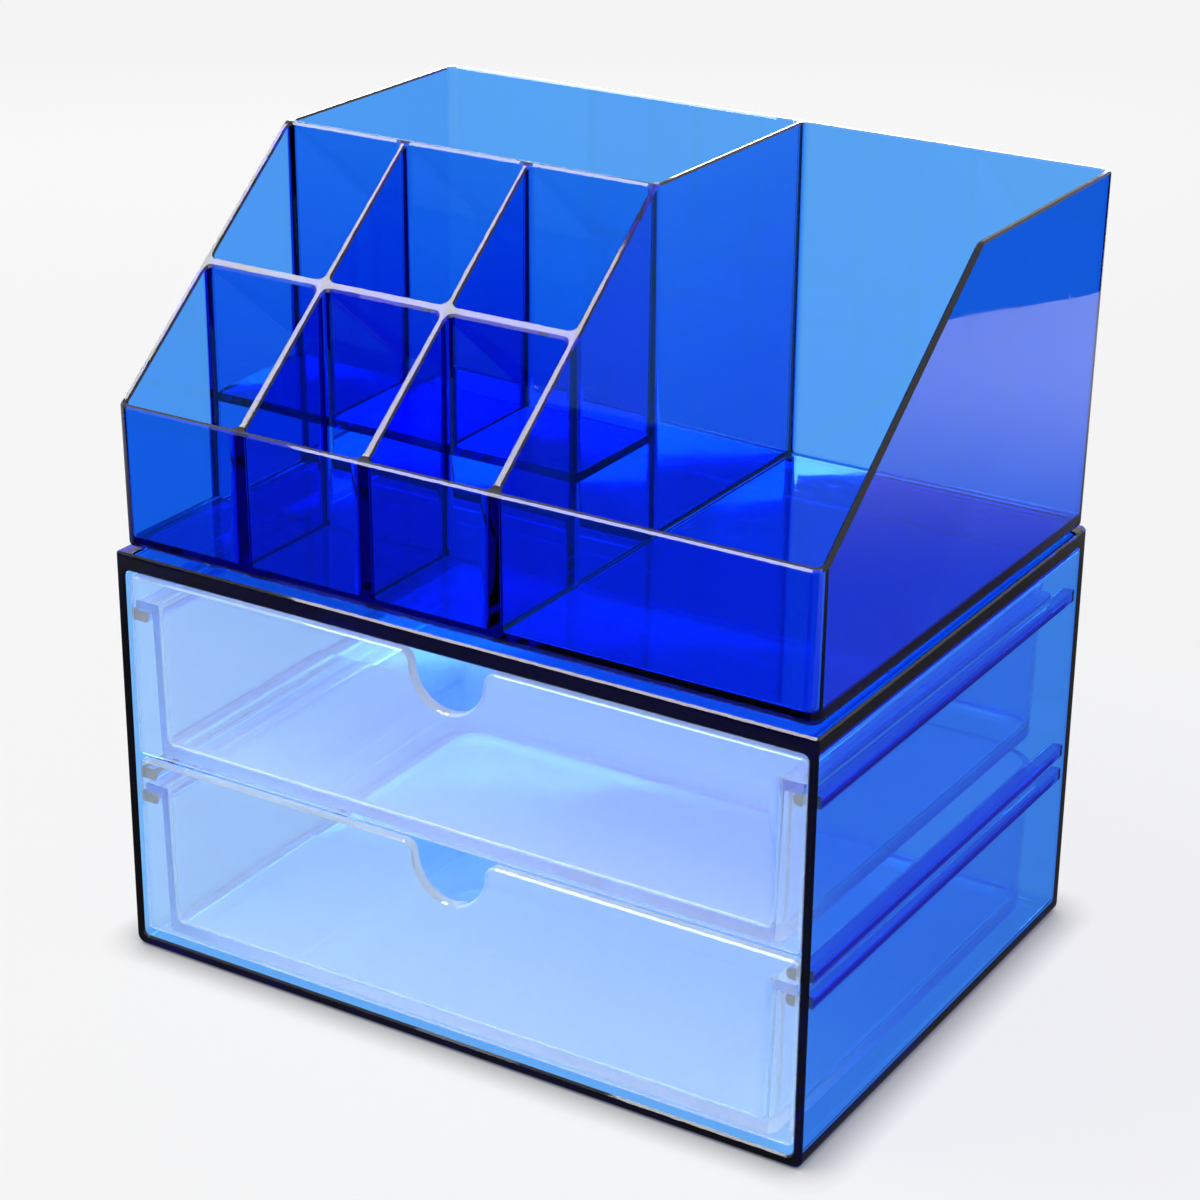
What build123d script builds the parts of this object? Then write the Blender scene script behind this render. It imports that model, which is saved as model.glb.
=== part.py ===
from build123d import *
import os
from math import atan2, radians, tan

# Cosmetic organizer: a casing with two drawers and a lift-off tray on top.
# Millimetres, +Z up, the drawers open towards -Y, origin under the middle of the base.

# Drawer casing, one moulding that is open at the front
casing_width = 240.0
casing_depth = 180.0
casing_wall = 3.0
casing_floor = 3.4
casing_top = 5.8
casing_side_draft = 0.4
casing_outer_radius = 3.0
casing_opening_radius = 2.0
casing_edge_break = 0.6

# Drawer fronts and the gaps around them in the casing's opening
front_height = 59.8
front_thickness = 3.0
front_recess = 1.0
front_corner_radius = 1.6
front_edge_break = 0.6
front_side_gap = 0.9
gap_over_fronts = 1.6
gap_between_fronts = 2.0
gap_under_fronts = 2.1

# Finger notch at the middle of each drawer front
notch_radius = 12.5
notch_depth = 16.5
notch_shoulder_radius = 4.0

# Drawer tub behind the front
tub_wall = 2.3
tub_floor = 2.4
tub_floor_lift = 1.0
tub_rim_drop = 8.4
tub_draft = 0.8
tub_corner_radius = 12.0
tub_front_corner_radius = 3.5
tub_floor_radius = 3.0
tub_rear_gap = 5.0

# Flanges along the tub's rim, and the casing's ribs that they slide between
flange_thickness = 3.3
flange_end_radius = 4.0
flange_edge_radius = 0.8
flange_side_clearance = 0.6
rib_thickness = 3.8
rib_reach = 5.9
rib_nose_radius = 1.5
rib_end_radius = 4.0
rib_front_gap = 1.0
rib_rear_gap = 3.0
slide_clearance = 0.3
hold_down_clearance = 0.8
rib_to_tub_clearance = 1.0

# Raised deck on the casing that keys into the underside of the tray
deck_margin = 6.0
deck_corner_radius = 4.0
deck_edge_break = 0.6
tray_gap = 1.5
key_depth = 1.0
key_clearance = 0.5
seat_clearance = 0.2

# Tray outside
tray_base_margin = 2.0
tray_height = 112.3
tray_lip_height = 45.0
tray_lip_land = 3.0
tray_shoulder_setback = 87.0
tray_flare = 0.46
tray_corner_radius = 4.0
tray_base_radius = 1.4
tray_lip_bend_radius = 8.0
tray_shoulder_land = 0.7
tray_edge_break = 0.6

# Tray inside, with wall thicknesses at the top rim
tray_wall = 2.2
tray_divider = 1.9
tray_floor = 2.2
tray_draft = 0.5
tray_columns = 3
column_width = 42.2
front_row_depth = 41.6
raised_floor_height = 36.5
raised_floor_thickness = 2.6
pocket_corner_radius = 2.0
pocket_floor_radius = 1.2
underside_wall = 2.2

# Modelling allowances: how far a cutter runs past what it cuts, and how steep an edge counts as upright
cutter_overlap = 5.0
upright_slope = 0.9

# Places that follow from the sizes above
casing_front = -casing_depth / 2
casing_back = casing_depth / 2
opening_half_width = casing_width / 2 - casing_wall
ceiling_z = casing_floor + gap_under_fronts + 2 * front_height + gap_between_fronts + gap_over_fronts
casing_height = ceiling_z + casing_top
front_face = casing_front + front_recess
tub_start = front_face + front_thickness
tub_rear = casing_back - casing_wall - tub_rear_gap
lower_front_bottom = casing_floor + gap_under_fronts
upper_front_bottom = lower_front_bottom + front_height + gap_between_fronts
flange_top_height = front_height - tub_rim_drop
flange_bottom_height = flange_top_height - flange_thickness
rib_nose_x = opening_half_width - rib_reach
tub_half_width = rib_nose_x - rib_to_tub_clearance
tray_base_z = casing_height + tray_gap
tray_top_z = tray_base_z + tray_height
tray_slope_angle = atan2(tray_height - tray_lip_height, tray_shoulder_setback - tray_lip_land)
tray_shoulder_radius = (tray_divider - tray_shoulder_land) / tan(tray_slope_angle / 2)


def narrowing(depth, angle):
    """How far a drafted wall moves over a depth."""
    return depth * tan(radians(angle))


def drafted_block(x_range, y_range, wide_z, narrow_z, draft, front_radius, rear_radius):
    """Block whose sides lean in from the wide level to the narrow level, with rounded upright corners."""
    outline = Rectangle(x_range[1] - x_range[0], y_range[1] - y_range[0])
    height = abs(narrow_z - wide_z)
    block = extrude(outline, amount=height, taper=draft)
    if narrow_z < wide_z:
        block = Rot(180, 0, 0) * block
    block = Pos((x_range[0] + x_range[1]) / 2, (y_range[0] + y_range[1]) / 2, wide_z) * block
    middle_z = (wide_z + narrow_z) / 2
    for side, radius in ((0, front_radius), (-1, rear_radius)):
        uprights = block.edges().filter_by(lambda edge: abs(edge.center().Z - middle_z) < height / 4)
        block = fillet(uprights.group_by(Axis.Y)[side], radius)
    return block


def side_taper_outline(half_width, front, back):
    """Plan outline of the casing, which narrows a little towards its back."""
    back_half = half_width - narrowing(back - front, casing_side_draft)
    return make_face(Polyline(
        (-half_width, front), (half_width, front), (back_half, back), (-back_half, back), close=True))


def rounded_rail(x_inner, x_outer, bottom_z, thickness, y_range, nose, nose_radius, end_radius):
    """Straight rail along Y: its nose side has rounded edges, and its rear end is rounded in plan."""
    width = x_outer - x_inner
    middle = (x_inner + x_outer) / 2
    section = Plane.XZ * Pos(middle, bottom_z + thickness / 2) * Rectangle(width, thickness)
    nose_points = section.vertices().group_by(Axis.X)[nose]
    section = fillet(nose_points, nose_radius)
    length = y_range[1] - y_range[0]
    rail = Pos(0, y_range[1], 0) * extrude(section, amount=length)
    plan = Pos(middle, (y_range[0] + y_range[1]) / 2) * Rectangle(width, length)
    rear_point = plan.vertices().group_by(Axis.X)[nose].sort_by(Axis.Y)[-1]
    plan = fillet(rear_point, end_radius)
    return rail & extrude(Pos(0, 0, bottom_z) * plan, amount=thickness)


def casing_rib(bottom_z):
    """Slide rib on the right inner side wall, rooted in the wall."""
    y_range = (tub_start + rib_front_gap, casing_back - casing_wall - rib_rear_gap)
    root = opening_half_width + casing_wall / 2
    return rounded_rail(rib_nose_x, root, bottom_z, rib_thickness, y_range, 0, rib_nose_radius, rib_end_radius)


def make_casing():
    """Open-fronted casing with its ribs and the raised deck that carries the tray."""
    body = extrude(side_taper_outline(casing_width / 2, casing_front, casing_back), amount=casing_height)
    rear_uprights = body.edges().filter_by(Axis.Z).group_by(Axis.Y)[-1]
    base_edges = body.edges().group_by(Axis.Z)[0].sort_by(Axis.Y)[1:]
    body = fillet(rear_uprights + base_edges, casing_outer_radius)

    inside = extrude(
        Pos(0, 0, casing_floor) * side_taper_outline(opening_half_width, casing_front, casing_back - casing_wall),
        amount=ceiling_z - casing_floor)
    inner_edges = inside.edges().group_by(Axis.Y)[1:]
    inside = fillet([edge for group in inner_edges for edge in group], casing_opening_radius)
    body -= inside
    rim = body.edges().group_by(Axis.Y)[0]
    top_edges = body.edges().group_by(Axis.Z)[-1].filter_by(lambda edge: edge not in rim)
    body = chamfer(rim + top_edges, casing_edge_break)

    rib_levels = [lower_front_bottom + flange_top_height + hold_down_clearance]
    for front_bottom in (lower_front_bottom, upper_front_bottom):
        rib_levels.append(front_bottom + flange_bottom_height - slide_clearance - rib_thickness)
    for level in rib_levels:
        rib = casing_rib(level)
        body += rib
        body += mirror(rib, about=Plane.YZ)

    deck_height = tray_gap + key_depth - seat_clearance
    deck_outline = Pos(0, 0, casing_height) * RectangleRounded(
        casing_width - 2 * deck_margin, casing_depth - 2 * deck_margin, deck_corner_radius)
    deck = extrude(deck_outline, amount=deck_height)
    deck = chamfer(deck.edges().group_by(Axis.Z)[-1], deck_edge_break)
    return body + deck


def front_plane():
    """Upright plane at the back of a drawer front, looking out of the drawer, with its origin at mid-height."""
    return Plane(origin=(0, tub_start, front_height / 2), x_dir=(1, 0, 0), z_dir=(0, -1, 0))


def finger_notch():
    """Round-bottomed outline that is cut down into a drawer front."""
    top = front_height / 2
    centre = top - notch_depth + notch_radius
    throat = Pos(0, (centre + top) / 2) * Rectangle(2 * notch_radius, top - centre)
    return Pos(0, centre) * Circle(notch_radius) + throat


def notched_front():
    """Drawer front: rounded panel with a finger notch between two rounded shoulders."""
    half_width = opening_half_width - front_side_gap
    panel = RectangleRounded(2 * half_width, front_height, front_corner_radius) - finger_notch()
    top = front_height / 2
    shoulders = [panel.vertices().sort_by_distance((side * notch_radius, top))[0] for side in (-1, 1)]
    panel = fillet(shoulders, notch_shoulder_radius)
    front = extrude(front_plane() * panel, amount=front_thickness)
    return chamfer(front.edges().group_by(Axis.Y)[0], front_edge_break)


def drawer_flange():
    """Outward flange along the right side of the tub's rim."""
    rear_half = opening_half_width - narrowing(tub_rear - casing_front, casing_side_draft)
    y_range = (tub_start, tub_rear - tub_corner_radius)
    return rounded_rail(tub_half_width - tub_wall / 2, rear_half - flange_side_clearance, flange_bottom_height,
                        flange_thickness, y_range, -1, flange_edge_radius, flange_end_radius)


def make_drawer():
    """Clear drawer: notched front, drafted tub with rounded corners, and a flange along each side."""
    rim_z = flange_top_height
    floor_bottom = tub_floor_lift
    tub = drafted_block((-tub_half_width, tub_half_width), (front_face + front_edge_break, tub_rear),
                        rim_z, floor_bottom, tub_draft, tub_front_corner_radius + tub_wall, tub_corner_radius)
    tub &= Pos(0, (tub_start + tub_rear) / 2, front_height / 2) * Box(
        2 * tub_half_width, tub_rear - tub_start, 2 * front_height)
    drawer = notched_front() + tub
    flange = drawer_flange()
    drawer += flange
    drawer += mirror(flange, about=Plane.YZ)
    inner_half = tub_half_width - tub_wall
    inside = drafted_block((-inner_half, inner_half), (tub_start, tub_rear - tub_wall),
                           rim_z, floor_bottom + tub_floor, tub_draft,
                           tub_front_corner_radius, tub_corner_radius - tub_wall)
    inside = fillet(inside.edges().group_by(Axis.Z)[0], tub_floor_radius)
    drawer -= inside
    return drawer - extrude(front_plane() * finger_notch(), amount=-tub_wall)


def tray_slope_cutter(front, half_width):
    """What the side view leaves out: the space over the low lip and the slope, up to the rounded shoulder."""
    lip_z = tray_base_z + tray_lip_height
    bend_y = front + tray_lip_land
    shoulder_y = front + tray_shoulder_setback
    outline = Polyline(
        (front - cutter_overlap, lip_z), (bend_y, lip_z), (shoulder_y, tray_top_z),
        (shoulder_y + tray_shoulder_radius, tray_top_z),
        (shoulder_y + tray_shoulder_radius, tray_top_z + cutter_overlap),
        (front - cutter_overlap, tray_top_z + cutter_overlap), close=True)
    face = make_face(Plane.YZ * outline)
    bend = face.vertices().sort_by_distance((0, bend_y, lip_z))[0]
    face = fillet(bend, tray_lip_bend_radius)
    shoulder = face.vertices().sort_by_distance((0, shoulder_y, tray_top_z))[0]
    face = fillet(shoulder, tray_shoulder_radius)
    return extrude(face, amount=half_width + cutter_overlap, both=True)


def make_tray():
    """Lift-off tray: stepped columns, a deep rear compartment and a large side compartment."""
    grow = narrowing(tray_height, tray_flare)
    base_half_x = casing_width / 2 - tray_base_margin
    base_half_y = casing_depth / 2 - tray_base_margin
    top_half_x = base_half_x + grow
    top_half_y = base_half_y + grow
    tray = drafted_block((-top_half_x, top_half_x), (-top_half_y, top_half_y),
                         tray_top_z, tray_base_z, tray_flare, tray_corner_radius, tray_corner_radius)
    tray = fillet(tray.edges().group_by(Axis.Z)[0], tray_base_radius)

    floor_z = tray_base_z + key_depth + tray_floor
    raised_z = tray_base_z + raised_floor_height
    left = -top_half_x + tray_wall
    front = -top_half_y + tray_wall
    back = top_half_y - tray_wall
    columns_right = left + tray_columns * column_width + (tray_columns - 1) * tray_divider
    second_row_front = front + front_row_depth + tray_divider
    shoulder_wall = -top_half_y + tray_shoulder_setback
    rear_front = shoulder_wall + tray_divider

    columns = []
    for column in range(tray_columns):
        x_start = left + column * (column_width + tray_divider)
        x_range = (x_start, x_start + column_width)
        columns.append((x_range, (front, front + front_row_depth), floor_z))
        columns.append((x_range, (second_row_front, shoulder_wall), raised_z))
    for x_range, y_range, bottom_z in columns:
        tray -= drafted_block(x_range, y_range, tray_top_z, bottom_z, tray_draft,
                              pocket_corner_radius, pocket_corner_radius)
    large = [
        ((left, columns_right), (rear_front, back)),
        ((columns_right + tray_divider, top_half_x - tray_wall), (front, back)),
    ]
    for x_range, y_range in large:
        pocket = drafted_block(x_range, y_range, tray_top_z, floor_z, tray_draft,
                               pocket_corner_radius, pocket_corner_radius)
        tray -= fillet(pocket.edges().group_by(Axis.Z)[0], pocket_floor_radius)
    tray -= tray_slope_cutter(-top_half_y, top_half_x)

    lean = narrowing(tray_top_z - floor_z, tray_draft)
    hollow_x = (-base_half_x + underside_wall, columns_right + tray_divider + lean - underside_wall)
    hollow_y = (front + front_row_depth - lean + underside_wall, rear_front + lean - underside_wall)
    tray -= drafted_block(hollow_x, hollow_y, tray_base_z, raised_z - raised_floor_thickness,
                          tray_draft, pocket_corner_radius, pocket_corner_radius)
    key_outline = Pos(0, 0, tray_base_z) * RectangleRounded(
        casing_width - 2 * deck_margin + 2 * key_clearance,
        casing_depth - 2 * deck_margin + 2 * key_clearance, deck_corner_radius + key_clearance)
    tray -= extrude(key_outline, amount=key_depth)
    slope_start = tray_base_z + tray_lip_height - tray_edge_break
    upper = [edge for edge in tray.edges() if edge.bounding_box().max.Z > slope_start
             and abs(edge.tangent_at(0.5).Z) < upright_slope]
    return chamfer(upper, tray_edge_break)


os.makedirs("parts", exist_ok=True)
drawer = make_drawer()
nodes = {
    "casing": make_casing(),
    "lower_drawer": Pos(0, 0, lower_front_bottom) * drawer,
    "upper_drawer": Pos(0, 0, upper_front_bottom) * drawer,
    "top_tray": make_tray(),
}
for name, solid in nodes.items():
    export_step(solid, f"parts/{name}.step")
    print(name, len(solid.solids()), round(solid.volume), solid.bounding_box())
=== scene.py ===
import math

import bpy
from mathutils import Matrix, Vector

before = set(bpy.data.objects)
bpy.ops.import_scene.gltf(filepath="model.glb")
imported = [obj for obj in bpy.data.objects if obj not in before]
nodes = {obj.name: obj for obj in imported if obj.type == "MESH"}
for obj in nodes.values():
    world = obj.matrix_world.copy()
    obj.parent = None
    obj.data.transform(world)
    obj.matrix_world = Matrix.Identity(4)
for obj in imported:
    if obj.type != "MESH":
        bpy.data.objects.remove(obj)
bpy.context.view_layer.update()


# Drawer casing: one open-fronted injection moulding in deep blue transparent polystyrene.
# Its ribs and the raised deck are moulded in one piece with the walls, and nothing is fixed to it.
# The dye sits in the plastic itself, so a thin wall looks sky blue and a long path inside it goes black.
def moulded_skin_group():
    """Polished moulding skin: slow waves from the tool, hairline scuffs and finger marks."""
    group = bpy.data.node_groups.new("moulded_skin", "ShaderNodeTree")
    sockets = group.interface
    for name in ("Gloss", "Smear", "Wave Size", "Scuff Size"):
        sockets.new_socket(name, in_out="INPUT", socket_type="NodeSocketFloat")
    for name in ("Roughness", "Height"):
        sockets.new_socket(name, in_out="OUTPUT", socket_type="NodeSocketFloat")
    add = group.nodes.new
    link = group.links.new
    taken = add("NodeGroupInput")
    given = add("NodeGroupOutput")
    place = add("ShaderNodeTexCoord")

    wave = add("ShaderNodeTexNoise")
    wave.inputs["Detail"].default_value = 0.0
    link(place.outputs["Object"], wave.inputs["Vector"])
    link(taken.outputs["Wave Size"], wave.inputs["Scale"])

    stretch = add("ShaderNodeMapping")
    stretch.inputs["Scale"].default_value = (0.12, 1.0, 0.35)
    stretch.inputs["Rotation"].default_value = (0.5, 0.3, 0.7)
    link(place.outputs["Object"], stretch.inputs["Vector"])
    scuff = add("ShaderNodeTexNoise")
    scuff.inputs["Detail"].default_value = 1.0
    link(stretch.outputs["Vector"], scuff.inputs["Vector"])
    link(taken.outputs["Scuff Size"], scuff.inputs["Scale"])
    hairline = add("ShaderNodeMapRange")
    hairline.inputs["From Min"].default_value = 0.62
    hairline.inputs["From Max"].default_value = 0.74
    link(scuff.outputs["Fac"], hairline.inputs["Value"])

    smear = add("ShaderNodeTexNoise")
    smear.inputs["Scale"].default_value = 22.0
    smear.inputs["Detail"].default_value = 2.0
    smear.inputs["Distortion"].default_value = 1.2
    link(place.outputs["Object"], smear.inputs["Vector"])
    patch = add("ShaderNodeMapRange")
    patch.inputs["From Min"].default_value = 0.5
    patch.inputs["From Max"].default_value = 0.75
    link(smear.outputs["Fac"], patch.inputs["Value"])

    marks = add("ShaderNodeMath")
    marks.operation = "MAXIMUM"
    link(hairline.outputs["Result"], marks.inputs[0])
    link(patch.outputs["Result"], marks.inputs[1])
    rough = add("ShaderNodeMath")
    rough.operation = "MULTIPLY_ADD"
    link(marks.outputs["Value"], rough.inputs[0])
    link(taken.outputs["Smear"], rough.inputs[1])
    link(taken.outputs["Gloss"], rough.inputs[2])
    link(rough.outputs["Value"], given.inputs["Roughness"])
    link(wave.outputs["Fac"], given.inputs["Height"])
    return group


moulded_skin = moulded_skin_group()


def plastic_base(name, skin_values, wave_height):
    """Material with a polished moulding skin on a Principled shader, which lets the lamps' light through."""
    material = bpy.data.materials.new(name)
    material.use_nodes = True
    tree = material.node_tree
    shader = tree.nodes["Principled BSDF"]
    skin = tree.nodes.new("ShaderNodeGroup")
    skin.node_tree = moulded_skin
    for socket, value in skin_values.items():
        skin.inputs[socket].default_value = value
    relief = tree.nodes.new("ShaderNodeBump")
    relief.inputs["Distance"].default_value = wave_height
    tree.links.new(skin.outputs["Height"], relief.inputs["Height"])
    tree.links.new(relief.outputs["Normal"], shader.inputs["Normal"])
    tree.links.new(skin.outputs["Roughness"], shader.inputs["Roughness"])
    rays = tree.nodes.new("ShaderNodeLightPath")
    lamp_way = tree.nodes.new("ShaderNodeBsdfTransparent")
    lets_light_in = tree.nodes.new("ShaderNodeMixShader")
    tree.links.new(rays.outputs["Is Shadow Ray"], lets_light_in.inputs["Fac"])
    tree.links.new(shader.outputs["BSDF"], lets_light_in.inputs[1])
    tree.links.new(lamp_way.outputs["BSDF"], lets_light_in.inputs[2])
    tree.links.new(lets_light_in.outputs["Shader"], tree.nodes["Material Output"].inputs["Surface"])
    return material, tree, shader


def blue_plastic(name, dye_density, dye_tone):
    """Transparent blue moulding plastic, dyed right through. Density is what it takes of red per metre."""
    material, tree, shader = plastic_base(
        name, {"Gloss": 0.01, "Smear": 0.05, "Wave Size": 26.0, "Scuff Size": 700.0}, wave_height=0.00006)
    shader.inputs["Base Color"].default_value = (1.0, 1.0, 1.0, 1.0)
    shader.inputs["IOR"].default_value = 1.52
    shader.inputs["Transmission Weight"].default_value = 1.0
    dye = tree.nodes.new("ShaderNodeVolumeAbsorption")
    dye.inputs["Color"].default_value = dye_tone
    dye.inputs["Density"].default_value = dye_density
    tree.links.new(dye.outputs["Volume"], tree.nodes["Material Output"].inputs["Volume"])
    return material


casing_blue = blue_plastic("casing_blue", dye_density=480.0, dye_tone=(0.0, 0.58, 0.96, 1.0))


def dress(node, material):
    """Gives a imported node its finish, without touching its mesh."""
    slots = nodes[node].material_slots
    if not slots:
        nodes[node].data.materials.append(material)
    for slot in slots:
        slot.material = material


dress("casing", casing_blue)


# Two drawers: the same clear moulding twice, a notched front in one piece with its tub.
# Clear polystyrene with a faint milky veil from the mould's finish; each hangs by its two side
# flanges on the casing's ribs and only slides, with no stop.
clear_plastic, _, clear_shader = plastic_base(
    "clear_plastic", {"Gloss": 0.02, "Smear": 0.06, "Wave Size": 34.0, "Scuff Size": 800.0},
    wave_height=0.00005)
clear_shader.inputs["Base Color"].default_value = (0.86, 0.95, 1.0, 1.0)
clear_shader.inputs["IOR"].default_value = 1.5
clear_shader.inputs["Transmission Weight"].default_value = 0.86
for drawer in ("lower_drawer", "upper_drawer"):
    dress(drawer, clear_plastic)


# Lift-off tray: one moulding in a more strongly dyed blue, with stepped columns and deep rear and side
# compartments. It only stands on the casing, keyed by the low raised deck under it.
tray_blue = blue_plastic("tray_blue", dye_density=960.0, dye_tone=(0.0, 0.58, 0.962, 1.0))
dress("top_tray", tray_blue)


# Studio: a plain pale floor, the same pale tone all round, large soft lamps and two dark flags.
# The flags are seen only in reflections: painted dark reflections, which keep the front and the top of the
# right side deep blue. The floor is pale to the camera, with a painted contact shadow next to the object,
# and white through the plastic; reflections find it dark round the object, a painted shade.
backdrop_tone = (0.905, 0.905, 0.905, 1.0)
floor_size = 12.0
floor_drop = 0.0004
painted_shadow_reach = 0.014
painted_shadow_depth = 1.3
shadow_share = 0.06
white_level = 1.0


def seen_mask(tree):
    """1 for camera rays, reflections and views through plastic, 0 for rays that only carry light."""
    rays = tree.nodes.new("ShaderNodeLightPath")
    mask = rays.outputs["Is Camera Ray"]
    for kind in ("Is Glossy Ray", "Is Transmission Ray"):
        joined = tree.nodes.new("ShaderNodeMath")
        joined.operation = "MAXIMUM"
        tree.links.new(mask, joined.inputs[0])
        tree.links.new(rays.outputs[kind], joined.inputs[1])
        mask = joined.outputs["Value"]
    return mask


bpy.ops.mesh.primitive_plane_add(size=floor_size, location=(0.0, 0.0, -floor_drop))
floor = bpy.context.object
floor.name = "floor"
floor_paper = bpy.data.materials.new("floor_paper")
floor_paper.use_nodes = True
paper = floor_paper.node_tree
paper.nodes.clear()
paper_out = paper.nodes.new("ShaderNodeOutputMaterial")
paper_rays = paper.nodes.new("ShaderNodeLightPath")
paper_place = paper.nodes.new("ShaderNodeTexCoord")
from_middle = paper.nodes.new("ShaderNodeVectorMath")
from_middle.operation = "LENGTH"
paper.links.new(paper_place.outputs["Object"], from_middle.inputs[0])


def paper_level(near, near_level, far, far_level):
    """How bright the paper is, going from one level to another away from the object's middle."""
    ramp = paper.nodes.new("ShaderNodeMapRange")
    ramp.interpolation_type = "SMOOTHSTEP"
    ramp.inputs["From Min"].default_value = near
    ramp.inputs["From Max"].default_value = far
    ramp.inputs["To Min"].default_value = near_level
    ramp.inputs["To Max"].default_value = far_level
    paper.links.new(from_middle.outputs["Value"], ramp.inputs["Value"])
    return ramp.outputs["Result"]


def paper_set(socket, value):
    """Sets a socket in the paper's material to a number, or links it to another node's value."""
    if isinstance(value, float):
        socket.default_value = value
    else:
        paper.links.new(value, socket)


def paper_math(operation, first, second):
    """One sum on two values of the paper's material."""
    node = paper.nodes.new("ShaderNodeMath")
    node.operation = operation
    paper_set(node.inputs[0], first)
    paper_set(node.inputs[1], second)
    return node.outputs["Value"]


def paper_pick(ray, otherwise, picked):
    """One value for the rays of one kind, another for the rest."""
    node = paper.nodes.new("ShaderNodeMix")
    paper.links.new(paper_rays.outputs[ray], node.inputs["Factor"])
    paper_set(node.inputs["A"], otherwise)
    paper_set(node.inputs["B"], picked)
    return node.outputs["Result"]


# Painted contact shadow: ambient occlusion darkens the floor's glow next to the object, for camera rays
# only.
contact = paper.nodes.new("ShaderNodeAmbientOcclusion")
contact.samples = 8
contact.inputs["Distance"].default_value = painted_shadow_reach
painted_contact_shadow = paper_math("POWER", contact.outputs["AO"], painted_shadow_depth)
open_level = paper_level(near=0.5, near_level=0.84, far=2.2, far_level=0.885)
looked_at_level = paper_math("MULTIPLY", open_level, painted_contact_shadow)
# Painted shade in reflections: mirrored rays see the floor dark near the object and white from 0.7 m out.
mirrored_painted_shade_level = paper_level(near=0.4, near_level=0.1, far=0.7, far_level=white_level)
glow = paper.nodes.new("ShaderNodeEmission")
opaque_level = paper_pick("Is Glossy Ray", looked_at_level, mirrored_painted_shade_level)
paper.links.new(paper_pick("Is Transmission Ray", opaque_level, white_level), glow.inputs["Strength"])
shaded = paper.nodes.new("ShaderNodeBsdfDiffuse")
paper.links.new(
    paper_math("MULTIPLY", paper_rays.outputs["Is Camera Ray"], shadow_share), shaded.inputs["Color"])
looked_at = paper.nodes.new("ShaderNodeAddShader")
paper.links.new(shaded.outputs["BSDF"], looked_at.inputs[0])
paper.links.new(glow.outputs["Emission"], looked_at.inputs[1])
plain = paper.nodes.new("ShaderNodeBsdfDiffuse")
plain.inputs["Color"].default_value = (0.85, 0.85, 0.85, 1.0)
either = paper.nodes.new("ShaderNodeMixShader")
paper.links.new(seen_mask(paper), either.inputs["Fac"])
paper.links.new(plain.outputs["BSDF"], either.inputs[1])
paper.links.new(looked_at.outputs["Shader"], either.inputs[2])
paper.links.new(either.outputs["Shader"], paper_out.inputs["Surface"])
floor.data.materials.append(floor_paper)


# Painted dark reflections: black cards that only glossy rays see; they cast no shadow and block no light.
painted_reflection_black = bpy.data.materials.new("painted_reflection_black")
painted_reflection_black.use_nodes = True
card_shader = painted_reflection_black.node_tree.nodes["Principled BSDF"]
card_shader.inputs["Base Color"].default_value = (0.01, 0.01, 0.012, 1.0)
card_shader.inputs["Roughness"].default_value = 1.0
card_shader.inputs["Specular IOR Level"].default_value = 0.0
flag_height = 0.001


def painted_reflection_card(name, corners):
    """Black card just over the floor, which only mirror reflections see: a painted dark reflection that
    shades nothing.
    """
    mesh = bpy.data.meshes.new(name)
    mesh.from_pydata([(x, y, flag_height) for x, y in corners], [], [tuple(range(len(corners)))])
    card = bpy.data.objects.new(name, mesh)
    bpy.context.scene.collection.objects.link(card)
    card.data.materials.append(painted_reflection_black)
    card.visible_camera = False
    card.visible_diffuse = False
    card.visible_shadow = False
    card.visible_transmission = False
    card.visible_volume_scatter = False


painted_reflection_card("front_flag", [(-3.0, -3.0), (1.2, -3.0), (1.2, -0.335), (-3.0, -0.335)])
painted_reflection_card("rear_flag", [(0.711, 0.019), (3.0, 0.019), (3.0, 3.0), (-0.78, 3.0)])


def softbox(name, place, aim, size, radiance):
    """Soft rectangular lamp, aimed at a point, as bright all over as its radiance says."""
    lamp = bpy.data.lights.new(name, "AREA")
    lamp.shape = "RECTANGLE"
    lamp.size, lamp.size_y = size
    lamp.energy = radiance * math.pi * size[0] * size[1]
    lamp_object = bpy.data.objects.new(name, lamp)
    bpy.context.scene.collection.objects.link(lamp_object)
    lamp_object.location = place
    lamp_object.rotation_euler = (Vector(aim) - Vector(place)).to_track_quat("-Z", "Y").to_euler()
    lamp_object.visible_camera = False


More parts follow.
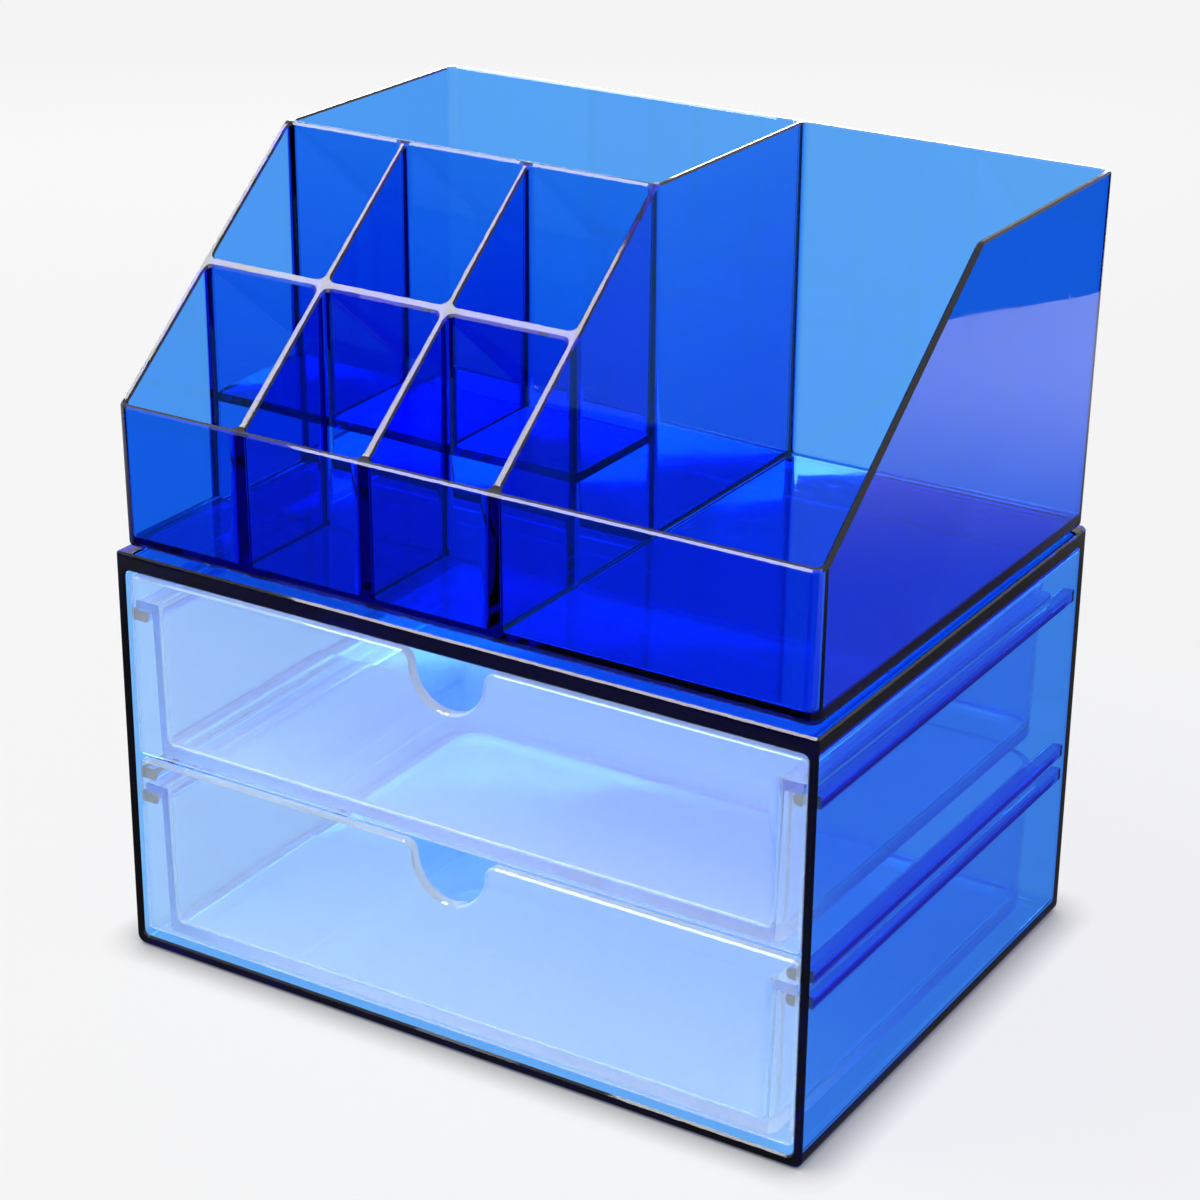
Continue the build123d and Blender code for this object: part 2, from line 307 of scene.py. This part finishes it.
softbox("top_softbox", place=(-0.62, -0.42, 1.15), aim=(0.0, 0.0, 0.15), size=(1.1, 0.45), radiance=10.0)
softbox("rear_softbox", place=(-0.72, 0.93, 0.46), aim=(0.0, 0.0, 0.2), size=(0.95, 0.22), radiance=9.0)
softbox("front_softbox", place=(-0.5, -1.3, 0.8), aim=(0.0, 0.0, 0.1), size=(0.9, 0.9), radiance=2.0)

studio = bpy.data.worlds.new("studio")
bpy.context.scene.world = studio
studio.use_nodes = True
sky = studio.node_tree
sky.nodes.clear()
sky_out = sky.nodes.new("ShaderNodeOutputWorld")
fill = sky.nodes.new("ShaderNodeBackground")
fill.inputs["Color"].default_value = (0.35, 0.35, 0.35, 1.0)
pale = sky.nodes.new("ShaderNodeBackground")
pale.inputs["Color"].default_value = backdrop_tone
sky_mix = sky.nodes.new("ShaderNodeMixShader")
sky.links.new(seen_mask(sky), sky_mix.inputs["Fac"])
sky.links.new(fill.outputs["Background"], sky_mix.inputs[1])
sky.links.new(pale.outputs["Background"], sky_mix.inputs[2])
sky.links.new(sky_mix.outputs["Shader"], sky_out.inputs["Surface"])


# Camera: three-quarter view from the front right, a little above, as the photograph was taken.
# Place and angles come from a fit to the object's straight edges.
# A look through the object crosses many walls, so the renderer follows it for many bounces.
camera_place = (0.44927, -0.73581, 0.48358)
camera_turn = 31.61
camera_tilt = 66.80
camera_roll = 0.597
camera_data = bpy.data.cameras.new("camera")
camera_data.lens = 91.28
camera_data.sensor_width = 36.0
camera = bpy.data.objects.new("camera", camera_data)
bpy.context.scene.collection.objects.link(camera)
camera.matrix_world = (
    Matrix.Translation(camera_place)
    @ Matrix.Rotation(math.radians(camera_turn), 4, "Z")
    @ Matrix.Rotation(math.radians(camera_tilt), 4, "X")
    @ Matrix.Rotation(math.radians(camera_roll), 4, "Z")
)
bpy.context.scene.camera = camera
scene = bpy.context.scene
scene.view_settings.view_transform = "Standard"
scene.cycles.max_bounces = 40
scene.cycles.transmission_bounces = 40
scene.cycles.glossy_bounces = 16
scene.cycles.diffuse_bounces = 4
scene.cycles.transparent_max_bounces = 48
